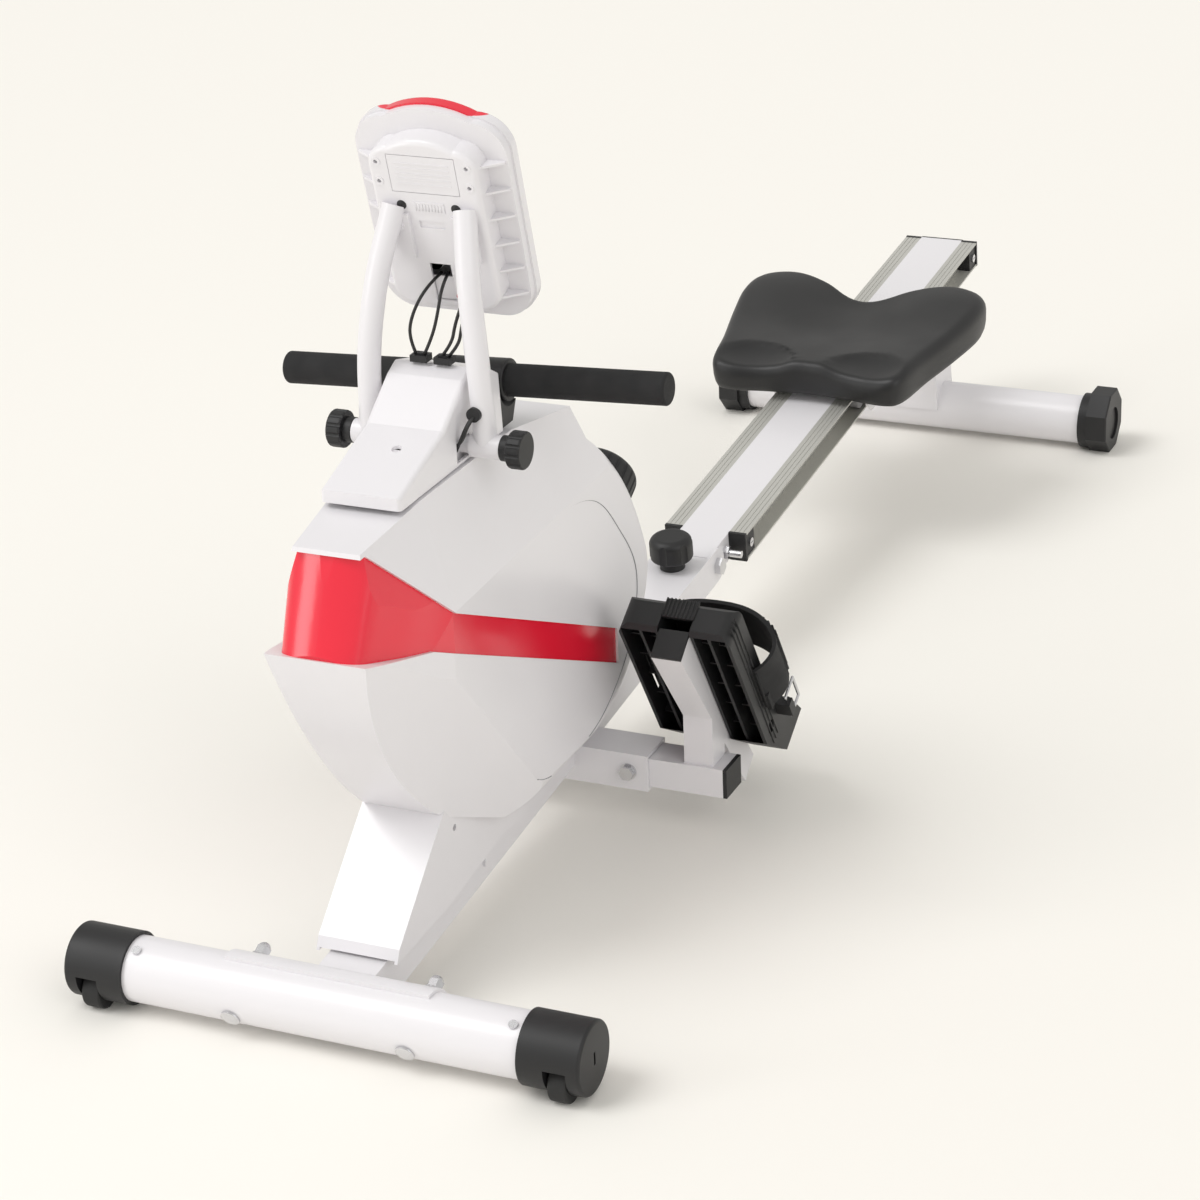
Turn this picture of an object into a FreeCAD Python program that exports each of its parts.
"""Magnetic rowing machine with a folding rail, a strap-driven flywheel and a rolling seat.

Millimetres, +Z up.  The working frame has Y = 0 on the axis of the front foot and X = 0 on the
plane between the left and right halves; the finished pieces are moved so that the origin lies on
the floor under the middle of the machine.  The rail and the main beam rise towards the rear, so
their pieces are drawn level, with their top face at height 0, and then laid on the slope.
"""
import FreeCAD
import Part
import math
import os

V = FreeCAD.Vector
X_AXIS = V(1, 0, 0)
Y_AXIS = V(0, 1, 0)
Z_AXIS = V(0, 0, 1)
SIDES = (("left", -1), ("right", 1))

# ---------------------------------------------------------------- driving sizes: general
steel_wall = 2.0          # wall of the steel tubes
plastic_wall = 3.0        # wall of the moulded covers
running_gap = 0.05        # radial clearance of a shaft that turns in a hole
loose_gap = 0.5           # clearance round a piece that passes through another
touch_gap = 0.4           # clearance between pieces of different bodies that meet

# ---------------------------------------------------------------- driving sizes: feet
foot_tube_r = 30.0
front_axis_z = 38.0
front_cap_r = 33.5
front_cap_in = 192.0      # inner edge of a front cap
front_cap_out = 250.0     # outer face of a front cap
front_tube_half = 213.0
wheel_r = 18.0
wheel_width = 18.0
wheel_mid_x = 227.0
wheel_y = -12.0
wheel_pin_r = 3.0
saddle_half = 100.0
saddle_thick = 3.0
foot_bolt_x = 85.0
foot_bolt_r = 4.0
foot_bolt_angle = 27.0

rear_axis_y = 1599.0
rear_axis_z = 34.0
rear_tube_half = 250.0
level_cap_in = 220.0
level_cap_out = 258.0
level_ring_in = 232.0
level_collar_r = 34.0
level_ring_flats = 75.0   # across flats of the eight-sided ring

# ---------------------------------------------------------------- driving sizes: beam and rail
rail_angle = 5.65
rail_zero_z = 52.0        # height of the beam's top face above the front foot's axis
beam_half = 28.0
beam_high = 40.0
beam_end = 760.0
bracket_start = 705.0
bracket_end = 812.0
bracket_plate = 3.0
fold_s = 838.0            # fold bolt, along the beam
fold_t = -16.0            # fold bolt, below the beam's top face
fold_bolt_r = 5.0
rail_half = 27.0
rail_high = 31.0
rail_start = 770.0
channel_start = 886.0
rail_end = 1708.0
channel_wide = 19.8
channel_wall = 2.0
plug_face = 4.0
stop_bolt_s = 868.0
lock_s = 790.0
lock_pin_r = 4.0
lock_knob_r = 23.0

# ---------------------------------------------------------------- driving sizes: housing
side_x = 70.0             # outer face of the housing's sides
front_x = 48.0            # half width at the beak
flywheel_y = 405.0
flywheel_z = 240.0
flywheel_r = 108.0
flywheel_half = 13.0
drive_y = 222.0
drive_z = 325.0
pulley_r = 68.0
small_pulley_r = 20.0
drum_r = 28.0
axle_r = 6.0
mast_plate = 3.0
belt_x = 20.0
belt_wide = 8.0
guide_y = 300.0
guide_z = 478.0
guide_r = 11.0
dial_angle = 29.0
dial_x = 24.0
dial_out = 153.0
dial_r = 36.0
dial_high = 33.0
band_inset = 3.0
band_thick = 2.5
ledge_thick = 3.0
nose_low_z = 358.0        # height where the nose's slopes are counted from
nose_front = 18.0         # front of the nose there
nose_slope = 0.427        # how the front leans back with height
nose_flank = 147.0        # where the nose meets the flat sides there
flank_slope = 0.714
nose_shape = [(0, 0), (0.36, 0.02), (0.62, 0.075), (0.74, 0.25), (0.85, 0.6), (1, 1)]

# ---------------------------------------------------------------- driving sizes: handle
handle_y = 346.0
handle_z = 496.0
handle_half = 190.0
handle_lean = 3.0
grip_r = 15.0
handle_tube_r = 11.0
clamp_half = 36.0
hub_r = 19.5

# ---------------------------------------------------------------- driving sizes: console
pivot_y = 250.0
pivot_z = 472.0
pivot_r = 8.0
sleeve_r = 11.0
sleeve_in = 43.0
sleeve_out = 72.0
fork_x = 56.0
fork_tube_r = 10.5
knob_r = 17.0
knob_thick = 18.0
console_wide = 144.0
console_high = 193.0
console_tilt = 15.0
console_y = 312.0
console_z = 660.0

# ---------------------------------------------------------------- driving sizes: foot rests
bar_y = 484.0
bar_z = 60.0
bar_deep = 38.0
bar_high = 30.0
bar_half = 182.0
sleeve_wall = 3.5
sleeve_half = 105.0
foot_x = 156.0
post_side = 30.0
carrier_angle = 52.0
carrier_long = 250.0
carrier_top_y = 409.0
carrier_top_z = 227.0
tray_angle = 57.5         # steepness of the foot plates
tray_y = 412.0
tray_z = 238.0
tray_half = 56.0
tray_long = 242.0
tray_floor = 178.0        # where the tray's underside starts to slope up to the heel
sole_n = 38.0             # sole above the tray's rim
heel_n = 78.0             # top of the heel cup above the tray's rim
tray_wall = 3.5
channel_half = 16.0
strap_at = 108.0
strap_wide = 62.0
strap_thick = 4.0
strap_top = 92.0
ring_wire = 1.6

# ---------------------------------------------------------------- driving sizes: seat
seat_s = 1330.0           # carriage middle, along the rail
roller_r = 13.0
roller_wide = 12.0
roller_spread = 62.0
carriage_x = 55.0
carriage_plate = 3.0
seat_rise = 10.0          # underside of the cushion above the rail
seat_thick = 42.0
pan_thick = 3.0
roller_t = -15.5
seat_bolt_r = 4.0

PARTS = {}


# ---------------------------------------------------------------- small helpers
def box(x0, x1, y0, y1, z0, z1):
    return Part.makeBox(x1 - x0, y1 - y0, z1 - z0, V(x0, y0, z0))


def rod(radius, start, axis, length):
    """A solid cylinder from a point along an axis."""
    return Part.makeCylinder(radius, length, start, axis)


def rod_x(radius, x0, x1, y, z):
    return rod(radius, V(x0, y, z), X_AXIS, x1 - x0)


def side_solid(points, x0, x1):
    """A flat outline in the Y-Z plane, made into a slab from x0 to x1."""
    corners = [V(x0, y, z) for y, z in points]
    face = Part.Face(Part.makePolygon(corners + corners[:1]))
    return face.extrude(V(x1 - x0, 0, 0))


def plan_solid(points, z0, z1):
    """A flat outline in the X-Y plane, made into a slab from z0 to z1."""
    corners = [V(x, y, z0) for x, y in points]
    face = Part.Face(Part.makePolygon(corners + corners[:1]))
    return face.extrude(V(0, 0, z1 - z0))


def join(shapes):
    whole = shapes[0]
    for shape in shapes[1:]:
        whole = whole.fuse(shape)
    return whole.removeSplitter()


def cut(shape, tools):
    for tool in tools:
        shape = shape.cut(tool)
    return shape


def group(shapes):
    solids = []
    for shape in shapes:
        solids.extend(shape.Solids)
    return Part.makeCompound(solids)


def mirrored(shape):
    return shape.mirror(V(0, 0, 0), X_AXIS)


def sided(shape, sign):
    """A piece drawn on the right, moved to its side."""
    return shape if sign > 0 else mirrored(shape)


def round_edges(shape, radius, chosen):
    edges = [edge for edge in shape.Edges if chosen(edge)]
    return shape.makeFillet(radius, edges) if edges else shape


def on_slope(shape):
    """Lay a piece drawn level along the sloping beam."""
    laid = shape.copy()
    laid.rotate(V(0, 0, 0), X_AXIS, rail_angle)
    laid.translate(V(0, 0, rail_zero_z))
    return laid


def slope_point(s, t, x=0.0):
    a = math.radians(rail_angle)
    y = s * math.cos(a) - t * math.sin(a)
    z = rail_zero_z + s * math.sin(a) + t * math.cos(a)
    return V(x, y, z)


def slope_top(y):
    """Height of the beam's top face above a place on the floor."""
    return rail_zero_z + y * math.tan(math.radians(rail_angle))


def hexagon(across, start, axis, length):
    """A hexagonal prism, for nuts and bolt heads."""
    radius = across / math.sqrt(3.0)
    prism = Part.makePolygon([V(radius * math.cos(k * math.pi / 3), radius * math.sin(k * math.pi / 3), 0)
                              for k in range(7)])
    solid = Part.Face(prism).extrude(V(0, 0, length))
    solid.Placement = FreeCAD.Placement(start, FreeCAD.Rotation(Z_AXIS, axis))
    return solid


def along(start, axis, distance):
    return start + axis * distance


def add(name, shape):
    PARTS[name] = shape


# ---------------------------------------------------------------- front foot
def front_foot_tube():
    outer = rod_x(foot_tube_r, -front_tube_half, front_tube_half, 0, front_axis_z)
    inner = rod_x(foot_tube_r - steel_wall, -front_tube_half - 1, front_tube_half + 1, 0, front_axis_z)
    tube = outer.cut(inner)
    return cut(tube, [rod(foot_bolt_r, p, bolt_axis(), 140) for p in bolt_starts()])


def bolt_axis():
    a = math.radians(foot_bolt_angle)
    return V(0, math.cos(a), math.sin(a))


def bolt_starts():
    middle = V(0, 0, front_axis_z)
    return [middle + V(sign * foot_bolt_x, 0, 0) - bolt_axis() * 70 for name, sign in SIDES]


def front_cap(sign):
    z = front_axis_z
    body = rod_x(front_cap_r, front_cap_in, front_cap_out, 0, z)
    body = round_edges(body, 3.0, lambda e: e.BoundBox.XMin > front_cap_out - 0.1)
    body = body.cut(rod_x(foot_tube_r, front_cap_in - 1, front_tube_half, 0, z))
    body = body.cut(rod_x(foot_tube_r - 4, front_tube_half - 1, front_tube_half + 1.5, 0, z))
    low = wheel_mid_x - wheel_width / 2 - 1.5
    high = wheel_mid_x + wheel_width / 2 + 1.5
    pocket = box(low, high, wheel_y - 30, wheel_y + wheel_r + 2, -5, front_axis_z)
    body = body.cut(pocket)
    body = body.cut(rod_x(wheel_pin_r, low - 4, high + 4, wheel_y, wheel_r))
    body = body.cut(box(front_cap_out - 3, front_cap_out + 1, -1.5, 1.5, z - 6, z + 6))
    return sided(body, sign)


def transport_wheel(sign):
    wheel = rod_x(wheel_r, wheel_mid_x - wheel_width / 2, wheel_mid_x + wheel_width / 2, wheel_y, wheel_r)
    wheel = round_edges(wheel, 2.0, lambda e: True)
    wheel = wheel.cut(rod_x(wheel_pin_r + running_gap, wheel_mid_x - 20, wheel_mid_x + 20, wheel_y, wheel_r))
    return sided(wheel, sign)


def wheel_pin(sign):
    low = wheel_mid_x - wheel_width / 2 - 5.0
    high = wheel_mid_x + wheel_width / 2 + 5.0
    return sided(rod_x(wheel_pin_r, low, high, wheel_y, wheel_r), sign)


def carriage_bolt(start):
    """Domed bolt through the tube and the saddle plate, with washer and acorn nut."""
    axis = bolt_axis()
    centre = along(start, axis, 70)
    head_face = along(centre, axis, -foot_tube_r)
    ball = Part.makeSphere(16, along(head_face, axis, 11.5))
    head = rod(9, along(head_face, axis, -6), axis, 6).common(ball)
    shank = rod(foot_bolt_r, along(centre, axis, -foot_tube_r - 1), axis, 2 * foot_tube_r + 12)
    face = foot_tube_r + saddle_thick
    washer = rod(8.5, along(centre, axis, face + 0.4), axis, 1.6)
    nut = hexagon(13, along(centre, axis, face + 2.0), axis, 8)
    dome = Part.makeSphere(6.2, along(centre, axis, face + 10))
    return join([head, shank, washer, nut, dome])


def cap_screw(sign):
    """Small pan-head screw that holds a front cap."""
    a = math.radians(62)
    axis = V(0, -math.cos(a), math.sin(a))
    centre = V(sign * (front_cap_in - 9), 0, front_axis_z)
    head = rod(4.2, along(centre, axis, foot_tube_r + 0.1), axis, 2.2)
    return head


def saddle_plate():
    ring = rod_x(foot_tube_r + saddle_thick, -saddle_half, saddle_half, 0, front_axis_z)
    ring = ring.cut(rod_x(foot_tube_r, -saddle_half - 1, saddle_half + 1, 0, front_axis_z))
    keep = box(-saddle_half, saddle_half, -5, 60, front_axis_z - 16, front_axis_z + 60)
    plate = ring.common(keep)
    return cut(plate, [rod(foot_bolt_r, p, bolt_axis(), 140) for p in bolt_starts()])


# ---------------------------------------------------------------- main frame
def beam_tube():
    outer = box(-beam_half, beam_half, 0, beam_end, -beam_high, 0)
    inner = box(-beam_half + steel_wall, beam_half - steel_wall, -1, beam_end + 1,
                -beam_high + steel_wall, -steel_wall)
    tube = on_slope(outer.cut(inner))
    foot = rod_x(foot_tube_r + saddle_thick, -200, 200, 0, front_axis_z)
    tube = tube.cut(foot)
    return tube.cut(box(-200, 200, -100, 0, -100, 200))


def fold_ears():
    """Folded plate over the beam's end: a top and two ears that carry the fold bolt."""
    pieces = [box(-beam_half - bracket_plate, beam_half + bracket_plate, bracket_start, bracket_end,
                  0, bracket_plate)]
    for name, sign in SIDES:
        x0 = min(sign * beam_half, sign * (beam_half + bracket_plate))
        ear = box(x0, x0 + bracket_plate, bracket_start, fold_s, fold_t - 19, bracket_plate)
        end = rod_x(19, x0, x0 + bracket_plate, fold_s, fold_t)
        pieces.append(ear)
        pieces.append(end)
    plate = join(pieces)
    plate = plate.cut(rod_x(fold_bolt_r, -60, 60, fold_s, fold_t))
    plate = plate.cut(rod(lock_pin_r + running_gap, V(0, lock_s, -10), Z_AXIS, 40))
    return on_slope(plate)


def foot_sleeve():
    """Square sleeve through the beam's lower side; the foot bar slides into it and is bolted."""
    half_y = bar_deep / 2 + loose_gap
    half_z = bar_high / 2 + loose_gap
    outer = box(-sleeve_half, sleeve_half, bar_y - half_y - sleeve_wall, bar_y + half_y + sleeve_wall,
                bar_z - half_z - sleeve_wall, bar_z + half_z + sleeve_wall)
    inner = box(-300, 300, bar_y - half_y, bar_y + half_y, bar_z - half_z, bar_z + half_z)
    return outer, inner


def main_frame():
    outer, inner = foot_sleeve()
    frame = join([saddle_plate(), beam_tube(), fold_ears(), outer])
    frame = frame.cut(inner)
    holes = [rod(4.0, V(sign * bar_bolt_x(), bar_y - 60, bar_z), Y_AXIS, 120) for name, sign in SIDES]
    return cut(frame, holes)


def bar_bolt_x():
    return sleeve_half - 20.0


def mast_outline():
    return [(250, slope_top(250) - 24), (450, slope_top(450) - 24), (450, 225), (430, 275), (366, 345),
            (366, 385), (316, 400), (316, 492), (232, 492), (232, 400), (190, 350), (190, 300), (235, 290),
            (300, 200), (262, 150)]


def mast():
    """Two upright plates on the beam, tied at the top by the console's axle tube."""
    pieces = []
    for name, sign in SIDES:
        x0 = min(sign * beam_half, sign * (beam_half + mast_plate))
        pieces.append(side_solid(mast_outline(), x0, x0 + mast_plate))
    pieces.append(rod_x(pivot_r, -sleeve_out - 6, sleeve_out + 6, pivot_y, pivot_z))
    pieces.append(box(-beam_half, beam_half, 306, 310, 402, 436))
    frame = join(pieces)
    holes = [rod_x(axle_r, -60, 60, flywheel_y, flywheel_z), rod_x(axle_r, -60, 60, drive_y, drive_z),
             rod_x(4.0, -60, 60, guide_y, guide_z), rod_x(4.0, -60, 60, magnet_pivot()[0], magnet_pivot()[1])]
    return cut(frame, holes)


# ---------------------------------------------------------------- drive
def flywheel():
    """Cast disc with a heavy rim, a thinner web and the small belt pulley on its hub."""
    y, z = flywheel_y, flywheel_z
    disc = rod_x(flywheel_r, -flywheel_half, flywheel_half - 2, y, z)
    for x0, x1 in ((-flywheel_half - 1, -5), (3, flywheel_half)):
        ring = rod_x(flywheel_r - 26, x0, x1, y, z).cut(rod_x(24, x0, x1, y, z))
        disc = disc.cut(ring)
    hub = rod_x(14, flywheel_half - 2.5, belt_x - 5.5, y, z)
    pulley = rod_x(small_pulley_r - 1, belt_x - 5.5, belt_x + 5.5, y, z)
    flange = rod_x(small_pulley_r + 2, belt_x - 6.5, belt_x - 5.0, y, z)
    outer_flange = rod_x(small_pulley_r + 2, belt_x + 5.0, belt_x + 6.5, y, z)
    wheel = join([disc, hub, pulley, flange, outer_flange])
    return wheel.cut(rod_x(axle_r + running_gap, -60, 60, y, z))


def axle(y, z):
    half = beam_half + mast_plate
    bar = rod_x(axle_r, -half - 9, half + 9, y, z)
    nuts = [hexagon(17, V(half, y, z), X_AXIS, 7), hexagon(17, V(-half - 7, y, z), X_AXIS, 7)]
    return join([bar] + nuts)


def guide_pin():
    half = beam_half + mast_plate
    return rod_x(4.0, -half - 2, half + 2, guide_y, guide_z)


def drive_pulley():
    y, z = drive_y, drive_z
    rim = rod_x(pulley_r - 1, belt_x - 5.5, belt_x + 5.5, y, z)
    for x0, x1 in ((belt_x - 6.5, belt_x - 5.0), (belt_x + 5.0, belt_x + 6.5)):
        rim = rim.fuse(rod_x(pulley_r + 2, x0, x1, y, z))
    ring = rod_x(pulley_r - 10, belt_x - 8, belt_x - 2, y, z).cut(rod_x(18, belt_x - 8, belt_x - 2, y, z))
    rim = rim.cut(ring)
    windows = []
    for k in range(5):
        a = math.radians(72 * k)
        windows.append(rod_x(12, belt_x - 9, belt_x + 9, y + 38 * math.cos(a), z + 38 * math.sin(a)))
    rim = cut(rim, windows)
    return rim.cut(rod_x(axle_r + running_gap, -60, 60, y, z)).removeSplitter()


def strap_drum():
    """Flanged drum that the pull strap winds on, with the wound turns as its middle."""
    y, z = drive_y, drive_z
    drum = rod_x(drum_r, -20, 12.5, y, z)
    flanges = [rod_x(drum_r + 12, -22.5, -20, y, z), rod_x(drum_r + 12, 10, 12.5, y, z)]
    drum = join([drum] + flanges)
    return drum.cut(rod_x(axle_r + running_gap, -60, 60, y, z))


def belt_tangent():
    """Angle of the straight runs of an open belt, from the line between the two centres."""
    span = math.hypot(drive_y - flywheel_y, drive_z - flywheel_z)
    return span, math.asin((pulley_r - small_pulley_r) / span)


def belt_loop(extra, x0, x1):
    """Outline of the belt round both pulleys, grown by extra, as a slab."""
    big = pulley_r + extra
    small = small_pulley_r + extra
    span, lean = belt_tangent()
    heading = math.atan2(flywheel_z - drive_z, flywheel_y - drive_y)
    up = heading + math.pi / 2 - lean
    down = heading - math.pi / 2 + lean

    def spot(centre_y, centre_z, radius, angle):
        return V(x0, centre_y + radius * math.cos(angle), centre_z + radius * math.sin(angle))

    a = spot(drive_y, drive_z, big, up)
    b = spot(flywheel_y, flywheel_z, small, up)
    c = spot(flywheel_y, flywheel_z, small, heading)
    d = spot(flywheel_y, flywheel_z, small, down)
    e = spot(drive_y, drive_z, big, down)
    f = spot(drive_y, drive_z, big, heading + math.pi)
    edges = [Part.LineSegment(a, b).toShape(), Part.Arc(b, c, d).toShape(),
             Part.LineSegment(d, e).toShape(), Part.Arc(e, f, a).toShape()]
    return Part.Face(Part.Wire(edges)).extrude(V(x1 - x0, 0, 0))


def drive_belt():
    x0 = belt_x - belt_wide / 2
    x1 = belt_x + belt_wide / 2
    return belt_loop(2.0, x0, x1).cut(belt_loop(-0.7, x0, x1))


def magnet_pivot():
    return (flywheel_y - 60, flywheel_z + 128)


def magnet_bracket():
    """Swinging arm that carries two magnets close over the flywheel's rim."""
    y, z = flywheel_y, flywheel_z
    py, pz = magnet_pivot()
    ring = rod_x(flywheel_r + 11, -16, 12, y, z).cut(rod_x(flywheel_r + 8, -17, 13, y, z))
    sector = side_solid([(y, z), (y - 150, z + 260), (y + 110, z + 260)], -16, 12)
    shoe = ring.common(sector)
    eye = rod_x(9, -24, 14, py, pz)
    arm = box(-16, 12, py - 2, py + 12, pz - 8, pz + 3)
    arm = arm.cut(rod_x(flywheel_r + 8, -30, 30, y, z))
    whole = join([shoe, eye, arm])
    whole = whole.cut(rod_x(4.0 + running_gap, -60, 60, py, pz))
    magnets = []
    for angle in (82, 102):
        block = box(-14, 10, -12, 12, flywheel_r + 3, flywheel_r + 8.6)
        block.rotate(V(0, 0, 0), X_AXIS, angle - 90)
        block.translate(V(0, y, z))
        magnets.append(block)
    whole = cut(whole, magnets)
    return group([whole] + magnets)


def magnet_pin():
    half = beam_half + mast_plate
    py, pz = magnet_pivot()
    return rod_x(4.0, -half - 2, half + 2, py, pz)


def guide_roller():
    roller = rod_x(guide_r, -24, 24, guide_y, guide_z)
    roller = roller.fuse(rod_x(guide_r + 4, -24, -21.5, guide_y, guide_z))
    roller = roller.fuse(rod_x(guide_r + 4, 21.5, 24, guide_y, guide_z))
    return roller.cut(rod_x(4.0 + running_gap, -60, 60, guide_y, guide_z)).removeSplitter()


def pull_strap():
    """Flat strap from the drum up over the guide roller and out to the handle."""
    thick = 1.6
    x0, x1 = -18.0, 8.0
    rise = V(0, guide_y - drive_y, guide_z - drive_z)
    span = rise.Length
    heading = math.atan2(rise.z, rise.y)
    lean = math.asin((drum_r - guide_r) / span)
    front = heading + math.pi / 2 - lean
    inner = [(drive_y + (drum_r + 0.05) * math.cos(front), drive_z + (drum_r + 0.05) * math.sin(front)),
             (guide_y + (guide_r + 0.3) * math.cos(front), guide_z + (guide_r + 0.3) * math.sin(front))]
    outer = [(drive_y + (drum_r + thick) * math.cos(front), drive_z + (drum_r + thick) * math.sin(front)),
             (guide_y + (guide_r + 0.3 + thick) * math.cos(front),
              guide_z + (guide_r + 0.3 + thick) * math.sin(front))]
    up_run = side_solid([inner[0], inner[1], outer[1], outer[0]], x0, x1)
    bend = rod_x(guide_r + 0.3 + thick, x0, x1, guide_y, guide_z)
    bend = bend.cut(rod_x(guide_r + 0.3, x0 - 1, x1 + 1, guide_y, guide_z))
    far = 80
    wedge = side_solid([(guide_y, guide_z), inner_far(front, far), (guide_y - far * 0.2, guide_z + far),
                        (guide_y, guide_z + far)], x0, x1)
    bend = bend.common(wedge)
    low = guide_z + guide_r + 0.3
    drop = handle_z - low
    out_run = box(x0, x1, guide_y, handle_y - math.sqrt(hub_r ** 2 - drop ** 2) - 1.5, low, low + thick)
    return join([up_run, bend, out_run])


def inner_far(angle, far):
    return (guide_y + far * math.cos(angle), guide_z + far * math.sin(angle))


def knob_axis():
    a = math.radians(dial_angle)
    return V(0, math.cos(a), math.sin(a))


def knob_base():
    return V(dial_x, flywheel_y, flywheel_z) + knob_axis() * dial_out


def resistance_knob():
    """Ribbed round dial on a shaft that winds the magnet cable."""
    axis = knob_axis()
    base = knob_base()
    knob = rod(dial_r, base, axis, dial_high)
    knob = round_edges(knob, 10, lambda e: (e.CenterOfMass - base).dot(axis) > dial_high - 2)
    grooves = []
    for k in range(24):
        turn = FreeCAD.Rotation(axis, 360.0 / 24 * k)
        side = turn.multVec(X_AXIS)
        grooves.append(rod(1.8, base + side * (dial_r + 0.4) - axis, axis, dial_high + 2))
    knob = cut(knob, grooves)
    shaft = rod(5, base - axis * 24, axis, 26)
    return join([knob, shaft])


# ---------------------------------------------------------------- housing
def rear_curve(inset):
    """Rear outline of the housing: one smooth curve from the neck round to the bottom."""
    points = [(452, 407), (518, 347), (561, 277), (572, 240), (556, 193), (515, 145), (462, 117), (415, 109)]
    middle = V(0, 415, 250)
    shifted = []
    for y, z in points:
        spot = V(0, y, z)
        inward = (middle - spot).normalize()
        shifted.append(spot + inward * inset)
    curve = Part.BSplineCurve()
    curve.interpolate(shifted)
    return curve, shifted


def profile_solid(inset, half):
    """Side outline of the housing as a slab that reaches half to each side."""
    curve, ends = rear_curve(inset)
    top = 457 - inset
    bottom = 108 + inset
    start = ends[0]
    finish = ends[-1]
    points = [V(0, start.y, start.z), V(0, 441 - inset, 441 - inset), V(0, 330, top), V(0, 150, top),
              V(0, 54 + inset, 444 - inset * 0.8), V(0, 19 + inset, 362)]
    edges = [Part.LineSegment(points[k], points[k + 1]).toShape() for k in range(len(points) - 1)]
    nose_mid = V(0, 62 + inset * 0.85, 258 + inset * 0.5)
    nose_end = V(0, 160 + inset * 0.6, 150 + inset * 0.8)
    edges.append(Part.Arc(points[-1], nose_mid, nose_end).toShape())
    floor_start = V(0, 250, bottom)
    edges.append(Part.LineSegment(nose_end, floor_start).toShape())
    edges.append(Part.LineSegment(floor_start, V(0, finish.y, finish.z)).toShape())
    curve_edge = curve.toShape()
    edges.append(curve_edge)
    wire = Part.Wire(Part.__sortEdges__(edges))
    slab = Part.Face(wire).extrude(V(2 * half, 0, 0))
    slab.translate(V(-half, 0, 0))
    return slab


def plan_block(inset):
    """Plan outline: narrow beak in front, widening to the flat sides."""
    side = side_x - inset
    beak = front_x - inset
    outline = [(-side, 146), (-beak - 2, 20 + inset), (-beak + 10, 8 + inset), (beak - 10, 8 + inset),
               (beak + 2, 20 + inset), (side, 146), (side, 640), (-side, 640)]
    return plan_solid(outline, 0, 600)


def facet_tool(a, b, c, inset, inside):
    """A large block beyond the plane through three points, moved inwards by inset."""
    normal = (b - a).cross(c - a).normalize()
    if normal.dot(inside - a) > 0:
        normal = normal * -1
    start = a - normal * inset
    block = Part.makeBox(900, 900, 300, V(-450, -450, 0))
    block.Placement = FreeCAD.Placement(start, FreeCAD.Rotation(Z_AXIS, normal))
    return block


def facet_tools(inset):
    """Planes that cut the right-hand corners of the beak, the shoulder and the chin."""
    inside = V(0, 300, 300)
    beak = V(front_x - 3, 48, 439)
    notch = V(side_x + 0.5, 147, 358)
    ridge = V(40, 150, 459)
    shoulder = V(side_x + 0.5, 300, 426)
    rear_ridge = V(40, 300, 459)
    chin_top = V(front_x + 2, 20, 355)
    notch_low = V(side_x + 0.5, 112, 336)
    leg_top = V(38, 156, 152)
    belly = V(side_x + 0.5, 285, 125)
    tools = [facet_tool(beak, notch, ridge, inset, inside),
             facet_tool(ridge, notch, shoulder, inset, inside),
             facet_tool(ridge, shoulder, rear_ridge, inset, inside),
             facet_tool(chin_top, notch_low, leg_top, inset, inside),
             facet_tool(notch_low, leg_top, belly, inset, inside)]
    return tools


def housing_body(inset):
    body = profile_solid(inset, side_x - inset)
    body = body.common(plan_block(inset))
    for tool in facet_tools(inset):
        body = body.cut(tool)
        body = body.cut(mirrored(tool))
    return body


def leg_body(inset):
    """Cover of the sloping front leg, open underneath."""
    half = 40 - inset
    if inset == 0:
        outline = [(52, 58), (58, 70), (158, 158), (260, 160), (322, 120), (322, 73), (274, 77), (153, 62)]
    else:
        outline = [(40, 40), (50, 58), (60 + inset, 68), (160 + inset, 156 - inset), (258, 157),
                   (322 - inset, 118), (322 - inset, 30), (200, 10)]
    return side_solid(outline, -half, half)


def band_outline(grow):
    """Outline of the red band: the front insert, narrowing to the side stripe."""
    top_z = 446 + 0.6 * grow
    return [(-5, top_z - 12), (60, 441 + grow), (147 + grow * 0.3, 358 + grow), (483, 201 + grow),
            (483, 164 - grow), (112 + grow * 0.3, 336 - grow), (-5, 364 - grow)]


def panel_pocket(side):
    """Shallow pocket that draws the raised leaf panel on a side."""
    points = [(150, 350), (235, 360), (320, 362), (398, 362), (452, 343), (497, 298), (533, 240), (520, 185),
              (478, 146), (430, 124), (370, 118), (303, 124), (247, 166), (208, 204), (174, 246), (142, 292),
              (126, 325)]
    curve = Part.BSplineCurve()
    curve.interpolate([V(side_x - 0.8, y, z) for y, z in points])
    closing = Part.LineSegment(V(side_x - 0.8, points[-1][0], points[-1][1]),
                               V(side_x - 0.8, points[0][0], points[0][1])).toShape()
    wire = Part.Wire([curve.toShape(), closing])
    return sided(Part.Face(wire).extrude(V(5, 0, 0)), side)


def housing_whole():
    outer = housing_body(0)
    outer = round_edges(outer, 16, is_rear_rim)
    outer = outer.fuse(leg_body(0))
    inner = housing_body(plastic_wall)
    shell = outer.cut(inner)
    shell = shell.cut(leg_body(plastic_wall))
    shell = shell.cut(side_solid(band_outline(0), -100, 100))
    shell = shell.fuse(band_ledges())
    way = beam_half + mast_plate + 1
    openings = [on_slope(box(-way, way, -50, 900, -beam_high - 80, 1.0)),
                box(-34, 34, 176, 330, 440, 520), box(-34, 34, 236, 456, 80, 125)]
    shell = cut(shell, openings)
    base = knob_base()
    shell = shell.cut(rod(6, base - knob_axis() * 60, knob_axis(), 80))
    shell = shell.cut(rod(dial_r + 2, base - knob_axis() * 1.0, knob_axis(), 60))
    return shell


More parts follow.
